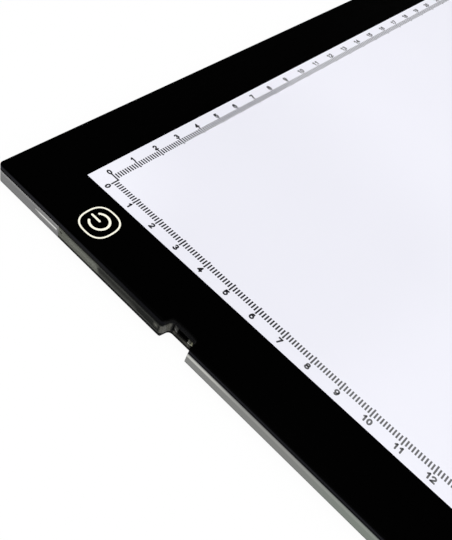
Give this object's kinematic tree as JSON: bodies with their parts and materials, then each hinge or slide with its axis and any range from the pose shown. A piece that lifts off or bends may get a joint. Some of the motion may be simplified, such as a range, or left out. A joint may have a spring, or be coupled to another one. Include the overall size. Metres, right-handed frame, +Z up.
{
  "type": "led tracing pad",
  "caption": "Slim tracing pad with a lit opal window in a black border, rulers along two sides of the window, a touch key and a recess for the supply plug.",
  "frame": {"origin": "centre of the footprint on the table, at the undersides of the rubber feet", "axes": "+X along the long side, the plug recess in the -X side; +Y towards the side that carries the top ruler; +Z up out of the lit face"},
  "size_m": [0.3476, 0.2476, 0.008],
  "materials": {
    "black_acrylic": "polished black acrylic, rounded top edge",
    "opal_acrylic": "opal acrylic lit evenly from inside",
    "black_tape": "black foam bonding tape",
    "grey_aluminium": "satin grey anodised aluminium strip",
    "smoked_plastic": "dark smoked moulded plastic",
    "black_cover": "fine matt black sheet",
    "white_moulding": "white moulded plastic",
    "white_film": "white reflective film",
    "clear_acrylic": "clear polished acrylic plate",
    "diffuser_film": "opal diffusing film",
    "led_strip": "white strip board with phosphor-topped lamps",
    "circuit_board": "green solder mask",
    "socket_steel": "plated steel",
    "black_moulding": "black moulded insulator",
    "chip_package": "black moulded package",
    "ceramic": "tan ceramic block with tinned ends",
    "plug_plastic": "off-white moulded plug",
    "copper_foil": "bright copper foil",
    "spring_wire": "gold-plated spring wire",
    "lead_sheath": "red flexible sheath",
    "foot_rubber": "black rubber"
  },
  "bodies": {
    "root": {"front_bezel": "black_acrylic", "tracing_panel": "opal_acrylic", "bond_tape": "black_tape", "side_frame": "grey_aluminium", "port_housing": "smoked_plastic", "back_cover": "black_cover", "inner_chassis": "white_moulding", "reflector_sheet": "white_film", "light_guide": "clear_acrylic", "diffuser_sheet": "diffuser_film", "rear_led_strip": "led_strip", "front_led_strip": "led_strip", "driver_board": "circuit_board", "usb_socket_shell": "socket_steel", "usb_socket_tongue": "black_moulding", "touch_chip": "chip_package", "dimmer_transistor": "chip_package", "filter_capacitor": "ceramic", "rear_led_plug": "plug_plastic", "front_led_plug": "plug_plastic", "touch_electrode": "copper_foil", "touch_spring": "spring_wire", "rear_led_lead": "lead_sheath", "front_led_lead": "lead_sheath", "rubber_foot_1": "foot_rubber", "rubber_foot_2": "foot_rubber", "rubber_foot_3": "foot_rubber", "rubber_foot_4": "foot_rubber"}
  },
  "joints": []
}
